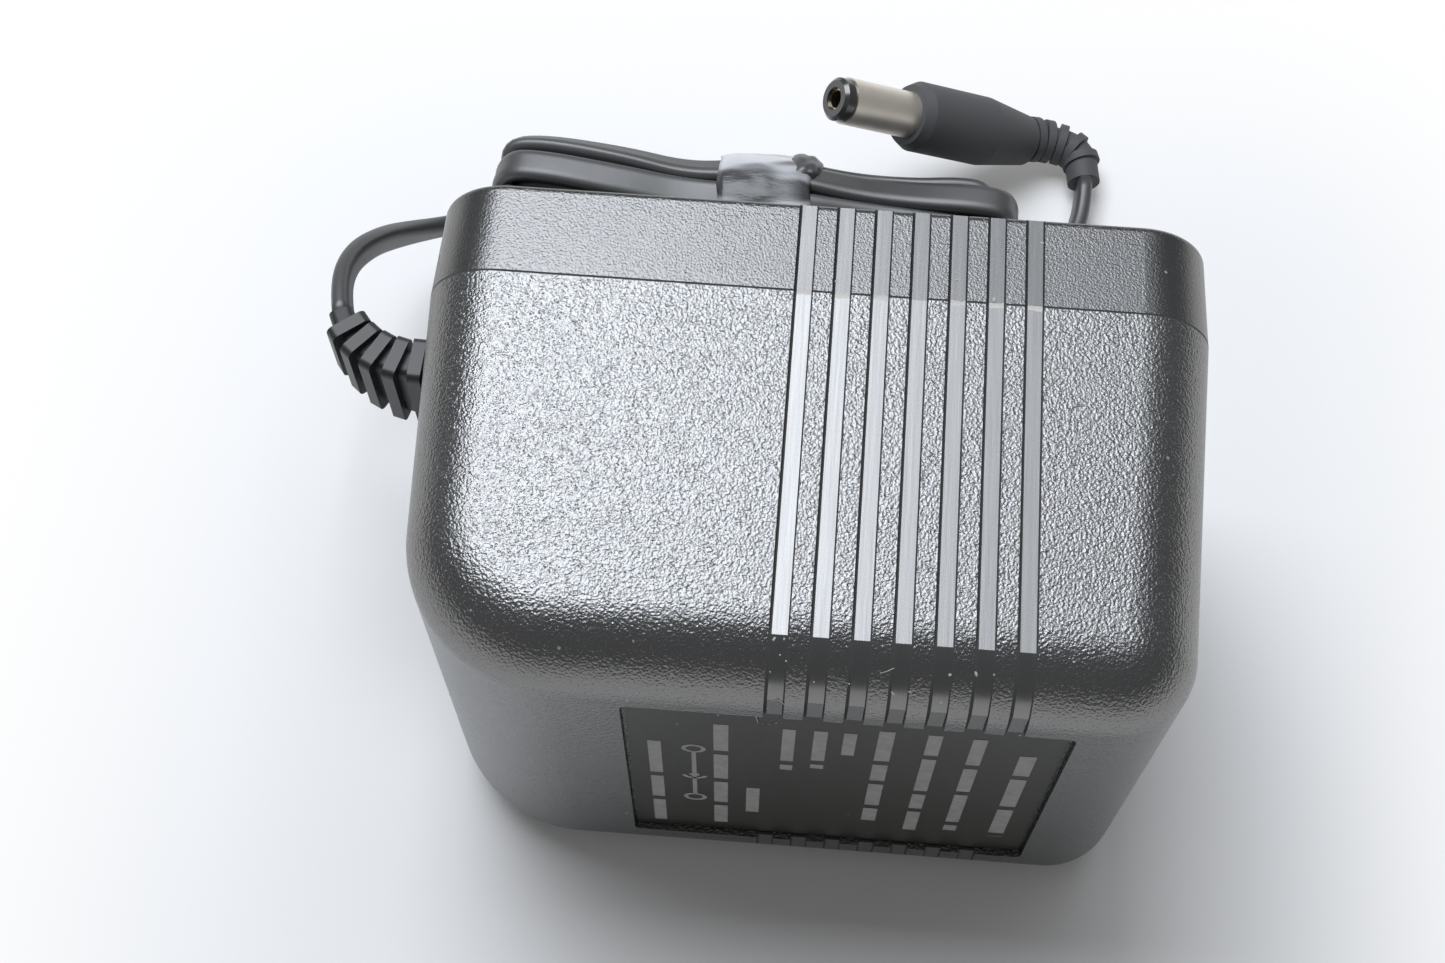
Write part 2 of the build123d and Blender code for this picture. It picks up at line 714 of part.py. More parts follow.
# Output wires from the board to the cord inside the strain relief
pad_y = board_y + output_pad_above_board_middle
wire_span = board_face_x - flange_x - flange_thickness
output_bend = min(wire_bend, wire_span / 7)
for name, side in (("output_wire_positive", 1), ("output_wire_negative", -1)):
    pad_z = mid_z + side * output_pad_spacing / 2
    end_z = mid_z + side * output_wire_spacing / 2
    output_points = [
        (board_face_x, pad_y, pad_z),
        (board_face_x - wire_span / 3, pad_y, pad_z),
        (flange_x + flange_thickness + wire_span / 3, relief_y, end_z),
        (flange_x + flange_thickness, relief_y, end_z),
    ]
    output_wire, _ = wire(output_points, wire_diameter, output_bend)
    save(name, output_wire)


# Strain relief: a bending core with ribs that get smaller, and a neck and flange in the wall
with BuildPart() as strain_relief:
    with BuildLine() as relief_path:
        Line(relief_start, relief_start + Vector(-relief_run, 0, 0))
        JernArc(relief_path.line @ 1, (-1, 0, 0), relief_turn_radius, -relief_turn)
        Line(relief_path.line @ 1, (relief_path.line @ 1) + (relief_path.line % 1) * relief_end_run)
    relief_line = relief_path.wires()[0]
    core_steps = ((0, relief_width, relief_height), (1, relief_tip_width, relief_tip_height))
    for share, width, height in core_steps:
        with BuildSketch(Plane(origin=relief_line @ share, x_dir=(0, 0, 1), z_dir=relief_line % share)):
            RectangleRounded(height - 2 * rib_groove_depth, width - 2 * rib_groove_depth, relief_corner)
    sweep(path=relief_line, multisection=True)
    for i in range(rib_count):
        share = (rib_first + i * rib_pitch) / relief_line.length
        width = relief_width + share * (relief_tip_width - relief_width)
        height = relief_height + share * (relief_tip_height - relief_height)
        with BuildSketch(Plane(origin=relief_line @ share, x_dir=(0, 0, 1), z_dir=relief_line % share)):
            RectangleRounded(height, width, relief_corner)
        extrude(amount=rib_thickness / 2, both=True)
    with BuildSketch(Plane(origin=relief_start, x_dir=(0, 0, 1), z_dir=(1, 0, 0))):
        RectangleRounded(neck_height, neck_width, relief_corner)
    extrude(amount=flange_x - relief_start.X)
    with BuildSketch(Plane(origin=(flange_x, relief_y, mid_z), x_dir=(0, 0, 1), z_dir=(1, 0, 0))):
        RectangleRounded(flange_height, flange_width, relief_corner)
    extrude(amount=flange_thickness)
save("strain_relief", strain_relief.part)

# Hank: the outer shape of the folded cord, in its tie
hank_axis = Axis((0, hank_y, hank_axis_z), (1, 0, 0))
with BuildPart() as cord_hank:
    with BuildSketch(Plane(origin=(0, hank_y, hank_axis_z), x_dir=(1, 0, 0), z_dir=(0, -1, 0))):
        with BuildLine():
            Polyline((hank_profile[0][0], 0), *hank_profile, (hank_profile[-1][0], 0), close=True)
        make_face()
    revolve(axis=hank_axis)
save("cord_hank", cord_hank.part)

with BuildPart() as cord_tie:
    with BuildSketch(Plane(origin=(tie_x - tie_width / 2, hank_y, hank_axis_z), z_dir=(1, 0, 0))):
        Circle(tie_bore_radius + tie_thickness)
        Circle(tie_bore_radius, mode=Mode.SUBTRACT)
    extrude(amount=tie_width)
    twist_z = hank_axis_z + tie_bore_radius + tie_thickness
    with BuildSketch(Plane(origin=(tie_x, hank_y, twist_z), z_dir=(1, 0, 0))):
        Circle(tie_twist_diameter / 2)
    extrude(amount=tie_twist_length)
    with BuildSketch(Plane(origin=(tie_x - tie_width, hank_y, hank_axis_z), z_dir=(1, 0, 0))):
        Circle(tie_bore_radius)
    extrude(amount=2 * (tie_width + tie_twist_length), mode=Mode.SUBTRACT)
save("cord_tie", cord_tie.part)

# Cord: a tube from the strain relief into the hank
cord_start = relief_line @ 1
route = [(cord_start.X, cord_start.Y, cord_start.Z)] + cord_route_after_relief
with BuildPart() as output_cord:
    add(cord_tube("output_cord", route))
    add(cord_hank.part, mode=Mode.SUBTRACT)
    add(strain_relief.part, mode=Mode.SUBTRACT)
save("output_cord", output_cord.part)


def plug_plane(along):
    """A sketch plane across the plug, at a distance from its rear toward its tip."""
    return Plane(origin=Vector(*plug_rear) + plug_axis * along, x_dir=plug_side, z_dir=plug_axis)


# Plug: contact and sleeve on an insulator, held in a moulded grip with a ringed tail
contact_outer = contact_bore / 2 + contact_wall
sleeve_inner = sleeve_diameter / 2 - sleeve_wall
with BuildPart() as plug_sleeve:
    with BuildSketch(plug_plane(grip_length - sleeve_root)):
        Circle(sleeve_diameter / 2 - sleeve_step)
    extrude(amount=sleeve_root)
    with BuildSketch(plug_plane(grip_length)):
        Circle(sleeve_diameter / 2)
    extrude(amount=sleeve_reach)
    with BuildSketch(plug_plane(grip_length - sleeve_root)):
        Circle(sleeve_inner - sleeve_step)
    extrude(amount=sleeve_root, mode=Mode.SUBTRACT)
    with BuildSketch(plug_plane(grip_length)):
        Circle(sleeve_inner)
    extrude(amount=sleeve_reach, mode=Mode.SUBTRACT)
save("plug_sleeve", plug_sleeve.part)

with BuildPart() as plug_insulator:
    with BuildSketch(plug_plane(grip_length + sleeve_reach)):
        Circle(sleeve_diameter / 2 - nose_step)
    extrude(amount=nose_length)
    chamfer(plug_insulator.faces().sort_by(Axis((0, 0, 0), plug_axis))[-1].edges(), nose_edge)
    with BuildSketch(plug_plane(grip_length - sleeve_root)):
        Circle(sleeve_inner - sleeve_step)
    extrude(amount=sleeve_root)
    with BuildSketch(plug_plane(grip_length)):
        Circle(sleeve_inner)
    extrude(amount=sleeve_reach)
    with BuildSketch(plug_plane(plug_length - socket_depth)):
        Circle(contact_outer)
    extrude(amount=socket_depth, mode=Mode.SUBTRACT)
save("plug_insulator", plug_insulator.part)

with BuildPart() as plug_contact:
    with BuildSketch(plug_plane(plug_length - socket_depth)):
        Circle(contact_outer)
        Circle(contact_bore / 2, mode=Mode.SUBTRACT)
    extrude(amount=socket_depth - contact_recess)
save("plug_contact", plug_contact.part)

with BuildPart() as plug_grip:
    with BuildSketch(Plane(origin=plug_rear, x_dir=plug_side, z_dir=plug_side.cross(plug_axis))) as half_grip:
        with BuildLine():
            Polyline(
                (0, 0),
                (grip_rear_radius, 0),
                (grip_radius, grip_waist),
                (grip_radius, grip_length - grip_collar),
                (grip_front_radius, grip_length),
                (0, grip_length),
                close=True,
            )
        make_face()
    revolve(axis=Axis(plug_rear, plug_axis))
    tail_start = Vector(*plug_rear) + plug_axis * tail_root
    tail_points = [(tail_start.X, tail_start.Y, tail_start.Z)] + tail_route
    with BuildLine() as tail_path:
        FilletPolyline(*tail_points, radius=route_radii(tail_points))
    tail_line = tail_path.wires()[0]
    with BuildSketch(Plane(origin=tail_line @ 0, z_dir=tail_line % 0)):
        Circle(tail_radius)
    sweep(path=tail_line)
    for i in range(tail_ring_count):
        share = (tail_ring_first + i * tail_ring_pitch) / tail_line.length
        fade = i / (tail_ring_count - 1)
        ring_radius = tail_ring_first_radius + fade * (tail_ring_last_radius - tail_ring_first_radius)
        with BuildSketch(Plane(origin=tail_line @ share, z_dir=tail_line % share)):
            Circle(ring_radius)
        extrude(amount=tail_ring_width / 2, both=True)
    with BuildSketch(plug_plane(grip_length - sleeve_root)):
        Circle(sleeve_diameter / 2 - sleeve_step)
    extrude(amount=sleeve_root, mode=Mode.SUBTRACT)
save("plug_grip", plug_grip.part)

# Cord: a tube from the tail of the plug into the hank
with BuildPart() as plug_lead:
    add(cord_tube("plug_lead", [tail_route[-1]] + lead_route_after_tail))
    add(cord_hank.part, mode=Mode.SUBTRACT)
    add(plug_grip.part, mode=Mode.SUBTRACT)
save("plug_lead", plug_lead.part)
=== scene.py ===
import bmesh
import bpy
import math
import random
from mathutils import Matrix, Vector, noise
from mathutils.bvhtree import BVHTree


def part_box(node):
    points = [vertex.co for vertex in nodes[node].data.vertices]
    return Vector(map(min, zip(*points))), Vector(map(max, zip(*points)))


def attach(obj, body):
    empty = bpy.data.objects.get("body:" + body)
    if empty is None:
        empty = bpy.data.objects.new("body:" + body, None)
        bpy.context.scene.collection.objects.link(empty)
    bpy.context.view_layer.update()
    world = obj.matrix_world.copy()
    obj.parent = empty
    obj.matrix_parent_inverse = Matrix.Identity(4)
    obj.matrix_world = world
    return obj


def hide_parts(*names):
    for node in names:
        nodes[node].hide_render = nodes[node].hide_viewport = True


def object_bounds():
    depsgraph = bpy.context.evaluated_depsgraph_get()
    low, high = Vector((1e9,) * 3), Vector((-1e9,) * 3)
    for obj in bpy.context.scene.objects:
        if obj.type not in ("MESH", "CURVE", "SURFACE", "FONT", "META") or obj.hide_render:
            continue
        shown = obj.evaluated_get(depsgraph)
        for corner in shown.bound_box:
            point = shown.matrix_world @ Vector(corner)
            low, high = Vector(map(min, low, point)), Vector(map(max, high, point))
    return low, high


# A plug-in power adapter lying on one ribbed side wall, with its flat cord folded into a hank behind it.
# It stands in the frame of the model: X along the case, Y toward the blades, Z up. Lengths are in metres,
# unless the comment over them says millimetres.

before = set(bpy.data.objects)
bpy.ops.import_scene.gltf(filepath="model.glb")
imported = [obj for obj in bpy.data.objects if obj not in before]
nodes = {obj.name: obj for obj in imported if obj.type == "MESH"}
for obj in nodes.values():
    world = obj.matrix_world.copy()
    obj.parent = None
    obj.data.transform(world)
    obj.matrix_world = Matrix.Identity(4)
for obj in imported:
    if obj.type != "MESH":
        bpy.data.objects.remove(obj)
model_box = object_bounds()
MM = 0.001
random.seed(7)

# Sizes of the case that the finishes and the print line up with
PARTING_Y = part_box("main_shell")[1][1]
PRONG_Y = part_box("plug_cover")[1][1]
PLATE_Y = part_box("rating_label")[0][1]
GROOVE_CENTRE_X = 9.0 * MM
GROOVE_PITCH = 3.5 * MM
GROOVE_WIDTH = 1.72 * MM
GROOVE_COUNT = 7
GROOVE_MARGIN = 0.06 * MM
FACE_MARGIN = 0.05 * MM

# Widths of the painted shade along the groove walls, wider on the left, and of the dark line along the
# parting line, and how far the torn edge there reaches
LEFT_SHADE_WIDTH = 0.26 * MM
RIGHT_SHADE_WIDTH = 0.11 * MM
PARTING_LINE = 0.10 * MM
BURR_REACH = 0.55 * MM


class Socket:
    """A node's output that can be used in sums like a number."""

    def __init__(self, shader, value):
        self.shader = shader
        self.value = value

    def maths(self, operation, other=0.0):
        """A Math node on this value and another."""
        return self.shader.node("ShaderNodeMath", {"operation": operation}, [self, other])

    def __add__(self, other):
        return self.maths("ADD", other)

    __radd__ = __add__

    def __mul__(self, other):
        return self.maths("MULTIPLY", other)

    __rmul__ = __mul__

    def __sub__(self, other):
        return self.maths("SUBTRACT", other)

    def __rsub__(self, other):
        return self.shader.node("ShaderNodeMath", {"operation": "SUBTRACT"}, [other, self])

    def __truediv__(self, other):
        return self.maths("DIVIDE", other)

    def __lt__(self, other):
        return self.maths("LESS_THAN", other)

    def __gt__(self, other):
        return self.maths("GREATER_THAN", other)

    def __abs__(self):
        return self.maths("ABSOLUTE")

    def smooth(self, low, high):
        """Zero below low and one above high, with a soft step between them."""
        return self.shader.node(
            "ShaderNodeMapRange", {"interpolation_type": "SMOOTHSTEP"}, [self, low, high, 0.0, 1.0]
        )


class Shader:
    """The node tree of a material or of the world, with one method for every node that is added."""

    def __init__(self, name, world=False):
        self.owner = bpy.data.worlds.new(name) if world else bpy.data.materials.new(name)
        self.owner.use_nodes = True
        self.tree = self.owner.node_tree
        self.surface = self.tree.nodes["Background" if world else "Principled BSDF"]

    def node(self, kind, settings=None, inputs=(), output=0):
        """A node of that kind with its settings made first, then its inputs by place or by name."""
        made = self.tree.nodes.new(kind)
        for key, value in (settings or {}).items():
            setattr(made, key, value)
        pairs = inputs.items() if isinstance(inputs, dict) else enumerate(inputs)
        for key, value in pairs:
            self.feed(made.inputs[key], value)
        return Socket(self, made.outputs[output])

    def feed(self, socket, value):
        """Links or sets one input."""
        if isinstance(value, Socket):
            self.tree.links.new(value.value, socket)
        else:
            socket.default_value = value

    def place(self):
        """The point in the object's own space, which is the frame of the model, in metres."""
        return self.node("ShaderNodeTexCoord", output="Object")

    def axes(self):
        """The three coordinates of the place."""
        split = self.node("ShaderNodeSeparateXYZ", inputs=[self.place()])
        return [Socket(self, output) for output in split.value.node.outputs]

    def noise(self, scale, detail=2.0, roughness=0.5, point=None):
        """Noise of a number of cells to the metre."""
        inputs = {"Vector": point or self.place(), "Scale": scale, "Detail": detail, "Roughness": roughness}
        return self.node("ShaderNodeTexNoise", {}, inputs)

    def streaks(self, scales, detail=2.0, roughness=0.5):
        """Noise of a different number of cells to the metre along each axis."""
        point = self.node("ShaderNodeVectorMath", {"operation": "MULTIPLY"}, [self.place(), scales])
        return self.noise(1.0, detail, roughness, point)

    def cells(self, scale, feature="F1"):
        """How far the nearest of scattered points is, for a number of points to the metre."""
        inputs = {"Vector": self.place(), "Scale": scale}
        return self.node("ShaderNodeTexVoronoi", {"feature": feature}, inputs, "Distance")

    def mix(self, share, low, high):
        """A colour between two colours."""
        inputs = {0: share, 6: low, 7: high}
        return self.node("ShaderNodeMix", {"data_type": "RGBA"}, inputs, output=2)

    def bump(self, height, distance, strength=1.0, normal=None):
        """A normal bent by a height between zero and one."""
        inputs = {"Height": height, "Distance": distance, "Strength": strength}
        if normal:
            inputs["Normal"] = normal
        return self.node("ShaderNodeBump", {}, inputs, "Normal")

    def finish(self, **inputs):
        """Sets the surface's inputs, named with underscores for blanks, and gives the material or world."""
        for key, value in inputs.items():
            self.feed(self.surface.inputs[key.replace("_", " ")], value)
        return self.owner


def grey(level, warm=0.0):
    """A neutral colour, a little warmer or cooler."""
    return (level * (1 + warm), level, level * (1 - warm), 1.0)


def groove_mask(x, y):
    """One on the floors of the grooves and zero between them, and the place across the nearest groove."""
    half_span = GROOVE_COUNT * GROOVE_PITCH / 2
    offset = (x - (GROOVE_CENTRE_X - half_span)) / GROOVE_PITCH
    within = offset.maths("FRACT") - 0.5
    band = abs(within) < (GROOVE_WIDTH + GROOVE_MARGIN) / GROOVE_PITCH / 2
    inside = abs(x - GROOVE_CENTRE_X) < half_span
    off_prong_face = y < PRONG_Y - FACE_MARGIN
    return band * inside * off_prong_face, within


def case_plastic(name, grain_scale, grain_depth, index):
    """Black moulded plastic: a crisp pebbled grain on the walls, smooth groove floors, painted shade along
    the groove walls and a dark parting line.
    """
    shader = Shader(name)
    x, y, _ = shader.axes()
    grooves, across = groove_mask(x, y)
    lands = 1 - grooves

    # Patterns: the pebbled grain, the marks along the groove floors, haze, and a scatter of fine dust
    grain = shader.noise(grain_scale, roughness=0.55)
    pits = shader.cells(grain_scale * 1.35, "SMOOTH_F1")
    height = (grain * 0.7 + pits * 0.45) * lands
    streaks = shader.streaks((2600, 120, 120)) * grooves
    spread = shader.noise(70, detail=3.0)
    dust = (shader.cells(420) < 0.07) * (spread > 0.55)
    haze = shader.noise(45, detail=4.0, roughness=0.55)

    # Painted shade along the walls of each groove, wider on the left, a dark line along the parting line, and
    # the pale torn edge across the grooves
    half_groove = GROOVE_WIDTH / GROOVE_PITCH / 2
    left_painted_shade = (across < LEFT_SHADE_WIDTH / GROOVE_PITCH - half_groove) * grooves
    right_painted_shade = (across > half_groove - RIGHT_SHADE_WIDTH / GROOVE_PITCH) * grooves
    ragged = shader.noise(900)
    from_parting = abs(y - PARTING_Y)
    parting = (from_parting < PARTING_LINE * 0.8 + ragged * PARTING_LINE * 0.6) * lands
    burr = (from_parting < BURR_REACH * ragged) * grooves * (shader.noise(160) > 0.42)
    lines = left_painted_shade.maths("MAXIMUM", right_painted_shade).maths("MAXIMUM", parting)

    base = shader.mix(haze, grey(0.012, -0.10), grey(0.022, -0.06))
    dusted = shader.mix(dust * 0.5, base, grey(0.42, 0.06))
    burred = shader.mix(burr * 0.8, dusted, grey(0.55, 0.05))
    # The painted shade beside the grooves and the dark parting line, near black and fully rough
    colour = shader.mix(lines, burred, grey(0.003))
    rough_land = 0.24 + haze * 0.06
    rough_floor = 0.20 + streaks * 0.12
    roughness = (rough_land * lands + rough_floor * grooves + dust * 0.3 + burr * 0.4) * (1 - lines) + lines
    fine = shader.bump(height, grain_depth)
    normal = shader.bump(streaks, 0.012 * MM, 0.5, fine)
    return shader.finish(
        Base_Color=colour, Roughness=roughness, Normal=normal, IOR=index, Specular_IOR_Level=1.0
    )


def label_plastic():
    """Smooth olive black of the label plate, faintly marbled, with specks of dust."""
    shader = Shader("label_plate_black")
    haze = shader.noise(70, detail=4.0)
    dust = (shader.cells(260) < 0.045) * (shader.noise(80) > 0.56)
    base = shader.mix(haze, (0.013, 0.013, 0.008, 1), (0.020, 0.019, 0.012, 1))
    colour = shader.mix(dust * 0.6, base, grey(0.4, 0.08))
    normal = shader.bump(shader.noise(500), 0.01 * MM, 0.4)
    return shader.finish(
        Base_Color=colour, Roughness=0.30 + haze * 0.08, Normal=normal, Specular_IOR_Level=0.4
    )


def print_ink():
    """Pale grey printing ink, a little uneven where it is thin."""
    shader = Shader("pale_print")
    thin = shader.noise(900, detail=3.0, roughness=0.6)
    colour = shader.mix(thin, grey(0.20, 0.03), grey(0.42, 0.03))
    return shader.finish(Base_Color=colour, Roughness=0.5 + thin * 0.1)


def soft_vinyl(name, low, high, roughness, gloss=0.5):
    """Soft black vinyl of the relief, cord or grip."""
    shader = Shader(name)
    haze = shader.noise(120, detail=4.0)
    colour = shader.mix(haze, grey(low, -0.04), grey(high, -0.02))
    normal = shader.bump(shader.noise(900, detail=3.0), 0.03 * MM, 0.5)
    return shader.finish(
        Base_Color=colour, Roughness=roughness + haze * 0.08, Normal=normal, Specular_IOR_Level=gloss
    )


def plain(name, colour, roughness, metallic=0.0, grain=700, depth=0.01, gloss=0.5):
    """A plain finish with a faint variation of colour and surface, the depth of which is in millimetres."""
    shader = Shader(name)
    haze = shader.noise(grain / 4, detail=3.0)
    mixed = shader.mix(haze, (*[channel * 0.8 for channel in colour], 1.0), (*colour, 1.0))
    normal = shader.bump(shader.noise(grain), depth * MM, 0.4)
    return shader.finish(
        Base_Color=mixed,
        Roughness=roughness + haze * 0.06,
        Metallic=metallic,
        Normal=normal,
        Specular_IOR_Level=gloss,
    )


def plated_metal(name, colour, mark_scales, roughness=0.22):
    """Plating with fine marks that run one way, such as turning marks round its axis."""
    shader = Shader(name)
    marks = shader.streaks(mark_scales, detail=3.0, roughness=0.6)
    haze = shader.noise(300, detail=3.0)
    mixed = shader.mix(haze, (*[channel * 0.85 for channel in colour], 1.0), (*colour, 1.0))
    normal = shader.bump(marks, 0.006 * MM, 0.5)
    return shader.finish(Base_Color=mixed, Roughness=roughness + marks * 0.1, Metallic=1.0, Normal=normal)


def tape_painted_reflection():
    """Clear tape with painted reflections: whitish patches of painted window reflection between places where
    the dark cord shows through.
    """
    shader = Shader("tape_painted_reflection")
    reflection_patches = shader.streaks((70, 260, 300))
    creases = shader.streaks((260, 900, 900), detail=3.0, roughness=0.6)
    # The whitish patches are painted reflections of the window; the dark places are the cord showing through.
    colour = shader.mix(reflection_patches.smooth(0.36, 0.56), (0.060, 0.062, 0.067, 1), (0.60, 0.61, 0.64, 1))
    normal = shader.bump(creases, 0.12 * MM, 0.8)
    return shader.finish(Base_Color=colour, Roughness=0.22 + reflection_patches * 0.15, Normal=normal)


def dress(material, *names):
    """Gives nodes of the model their finish."""
    for name in names:
        mesh = nodes[name].data
        mesh.materials.clear()
        mesh.materials.append(material)
        for polygon in mesh.polygons:
            polygon.material_index = 0


def mesh_from(body, name, smooth=False):
    """The mesh of a body that is complete, shaded flat or smooth."""
    mesh = bpy.data.meshes.new(name)
    body.to_mesh(mesh)
    body.free()
    if smooth:
        mesh.polygons.foreach_set("use_smooth", [True] * len(mesh.polygons))
    return mesh


def skin(body, rings):
    """Faces between each closed ring of vertices and the next."""
    for ring, following in zip(rings, rings[1:]):
        for i in range(len(ring)):
            j = (i + 1) % len(ring)
            body.faces.new((ring[i], ring[j], following[j], following[i]))


def new_piece(name, mesh, material, body="root"):
    """A new object that rides on the model, in a finish, parented to the empty of a body."""
    piece = bpy.data.objects.new(name, mesh)
    bpy.context.scene.collection.objects.link(piece)
    mesh.materials.append(material)
    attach(piece, body)
    return piece


# Camera: the photograph's size in pixels and where it was taken from, found from the outline of the case
IMAGE_WIDTH = 1445
IMAGE_HEIGHT = 963
CAMERA_PLACE = Vector((-1.30, -90.50, 220.57)) * MM
CAMERA_RIGHT = Vector((0.9969, 0.0785, -0.0001))
CAMERA_DOWN = Vector((0.0711, -0.9028, -0.4241))
CAMERA_FORWARD = Vector((-0.0333, 0.4228, -0.9056))
FOCAL_PIXELS = 2076.3
SENSOR_WIDTH = 36.0
CLIP_NEAR = 0.01
CLIP_FAR = 20.0


def make_camera():
    """The camera of the photograph."""
    data = bpy.data.cameras.new("photo_camera")
    data.sensor_width = SENSOR_WIDTH
    data.lens = FOCAL_PIXELS / IMAGE_WIDTH * SENSOR_WIDTH
    data.clip_start = CLIP_NEAR
    data.clip_end = CLIP_FAR
    camera = bpy.data.objects.new("photo_camera", data)
    axes = Matrix((CAMERA_RIGHT, -CAMERA_DOWN, -CAMERA_FORWARD)).transposed()
    camera.matrix_world = Matrix.Translation(CAMERA_PLACE) @ axes.to_4x4()
    bpy.context.scene.collection.objects.link(camera)
    bpy.context.scene.camera = camera


make_camera()

# Finishes of the outer nodes
dress(case_plastic("shell_black_plastic", 3200, 0.122 * MM, 1.84), "main_shell")
dress(case_plastic("cover_black_plastic", 4200, 0.055 * MM, 1.66), "plug_cover")
dress(label_plastic(), "rating_label")
dress(soft_vinyl("relief_vinyl", 0.018, 0.030, 0.38), "strain_relief")
dress(soft_vinyl("grip_vinyl", 0.076, 0.090, 0.62), "plug_grip")
dress(soft_vinyl("tie_vinyl", 0.03, 0.05, 0.4), "cord_tie")
dress(plain("insulator_plastic", (0.035, 0.035, 0.032), 0.18, gloss=1.0), "plug_insulator")
dress(plated_metal("sleeve_nickel", (0.97, 0.91, 0.82), (2500, 400, 400), 0.42), "plug_sleeve")
dress(plated_metal("contact_plating", (0.62, 0.55, 0.40), (400, 400, 400)), "plug_contact")
dress(plated_metal("blade_plating", (0.66, 0.62, 0.54), (300, 60, 2400)), "left_blade", "right_blade")

# Finishes of the nodes inside the case
PINS = [f"{side}_pin_{number}" for side in ("primary", "secondary") for number in (1, 2)]
DIODES = [f"rectifier_diode_{number}" for number in (1, 2, 3, 4)]
WIRES = [
    ("output_wire_positive", "red_wire", (0.40, 0.02, 0.02)),
    ("output_wire_negative", "black_wire", (0.015, 0.015, 0.015)),
    ("line_lead", "line_wire", (0.02, 0.02, 0.02)),
    ("fuse_lead", "fuse_wire", (0.02, 0.02, 0.02)),
    ("neutral_lead", "neutral_wire", (0.55, 0.55, 0.52)),
]
dress(plain("retainer_plastic", (0.03, 0.03, 0.03), 0.5), "blade_retainer")
dress(plain("core_steel", (0.22, 0.22, 0.23), 0.45, metallic=0.9), "core_e_stack", "core_i_stack")
dress(plain("bobbin_nylon", (0.62, 0.61, 0.55), 0.45), "bobbin")
copper = plain("winding_copper", (0.55, 0.22, 0.08), 0.35, metallic=0.8, grain=2000, depth=0.05)
dress(copper, "primary_winding", "secondary_winding")
dress(plain("winding_tape", (0.62, 0.45, 0.06), 0.3), "primary_tape", "secondary_tape")
dress(plain("board_laminate", (0.30, 0.20, 0.08), 0.45), "circuit_board")
dress(plain("capacitor_sleeve", (0.02, 0.03, 0.10), 0.3), "smoothing_capacitor")
dress(plain("fuse_body", (0.40, 0.36, 0.30), 0.4), "thermal_fuse")
dress(plain("tinned_wire", (0.55, 0.55, 0.54), 0.3, metallic=1.0), *PINS)
dress(plain("diode_black", (0.02, 0.02, 0.02), 0.35), *DIODES)
for wire, insulation, colour in WIRES:
    dress(plain(insulation, colour, 0.4), wire)

# Cord: two conductors side by side. Powers below one square off its round outline, and the groove between the
# conductors is given by shares of the cord's thickness and half width.
CORD_WIDTH = 4.0 * MM
CORD_THICKNESS = 2.0 * MM
CORD_SIDES = 20
CORD_STEPS = 6
CORD_SQUARE_ACROSS = 0.7
CORD_SQUARE_THROUGH = 0.62
CORD_GROOVE_DEPTH = 0.16
CORD_GROOVE_SPREAD = 0.22

# Route of the cord outside the hank, by the points of the model. The last on the way in lies inside the hank.
ON_EDGE = Vector((0, -0.42, 0.91))
RELIEF_TIP = Vector((-49.75, 14.6, 28.5)) * MM
ROUTE_TO_HANK = [
    RELIEF_TIP,
    Vector((-51.1, 19.0, 27.5)) * MM,
    Vector((-51.3, 24.4, 24.9)) * MM,
    Vector((-49.8, 29.2, 21.0)) * MM,
    Vector((-48.2, 33.8, 15.4)) * MM,
    Vector((-45.6, 38.0, 10.4)) * MM,
    Vector((-40.6, 41.6, 7.4)) * MM,
    Vector((-35.6, 43.2, 7.0)) * MM,
]
ROUTE_TO_PLUG = [
    Vector((20.4, 41.8, 5.6)) * MM,
    Vector((25.0, 42.2, 3.8)) * MM,
    Vector((29.8, 45.6, 2.6)) * MM,
    Vector((32.0, 50.6, 2.4)) * MM,
    Vector((32.2, 55.6, 2.6)) * MM,
]

# Hank: where its middle line lies. Then, in millimetres and degrees, its outline as in the model, the places
# along it where a run gets a point, and the runs in the order in which they are wound. Each run is given by
# its layer under the outline and its angle round the hank. Layer 0 is the outer one and 2 the core.
HANK_Y = 43.8 * MM
HANK_Z = 8.5 * MM
HANK_PROFILE = [
    (-36.0, 8.1), (-34.6, 8.2), (-29.2, 8.3), (-16.5, 6.1), (-10.0, 6.9),
    (-3.0, 6.9), (3.2, 5.9), (11.0, 5.9), (18.6, 6.7), (20.0, 6.6),
]
HANK_STATIONS = [-24.0, -16.5, -10.0, -3.0, 4.0, 11.0]
HANK_RUNS = [
    (2, 88), (2, 270), (1, 112), (1, 300), (1, 66), (1, 170),
    (0, 66), (0, 246), (0, 111), (0, 291), (0, 156), (0, 336), (0, 201), (0, 21), (1, 236),
]
HANK_CORE = 2
HANK_LAYER = 1.9
HANK_CLEARANCE = 0.1
HANK_TWIST = 0.8
HANK_SWAY = 2.0

# Ends of the hank's runs, by layer: where they turn, how far out they lie there, and how long the turn is for
# its radius. Each later run of a layer turns earlier by the tuck.
HANK_LEFT_ENDS = [-38.9, -37.2, -33.4]
HANK_RIGHT_ENDS = [22.3, 20.2, 18.0]
HANK_END_REACH = [0.9, 0.9, 1.0]
HANK_END_SPAN = [0.7, 1.2, 2.1]
HANK_TUCK = 0.35
STATION_GAP = 2.0
TURN_SHOULDER = 0.1
TURN_POLE = 0.08
POLE_SHIFT = 0.8


def hank_radius(x):
    """The outer radius of the tied hank at a place along it, in millimetres."""
    for (x0, r0), (x1, r1) in zip(HANK_PROFILE, HANK_PROFILE[1:]):
        if x <= x1:
            return r0 + (r1 - r0) * (max(x, x0) - x0) / (x1 - x0)
    return HANK_PROFILE[-1][1]


def run_radius(x, layer):
    """How far the middle of the cord lies from the middle of the hank in a layer, in millimetres."""
    return hank_radius(x) - CORD_THICKNESS / MM / 2 - HANK_CLEARANCE - layer * HANK_LAYER


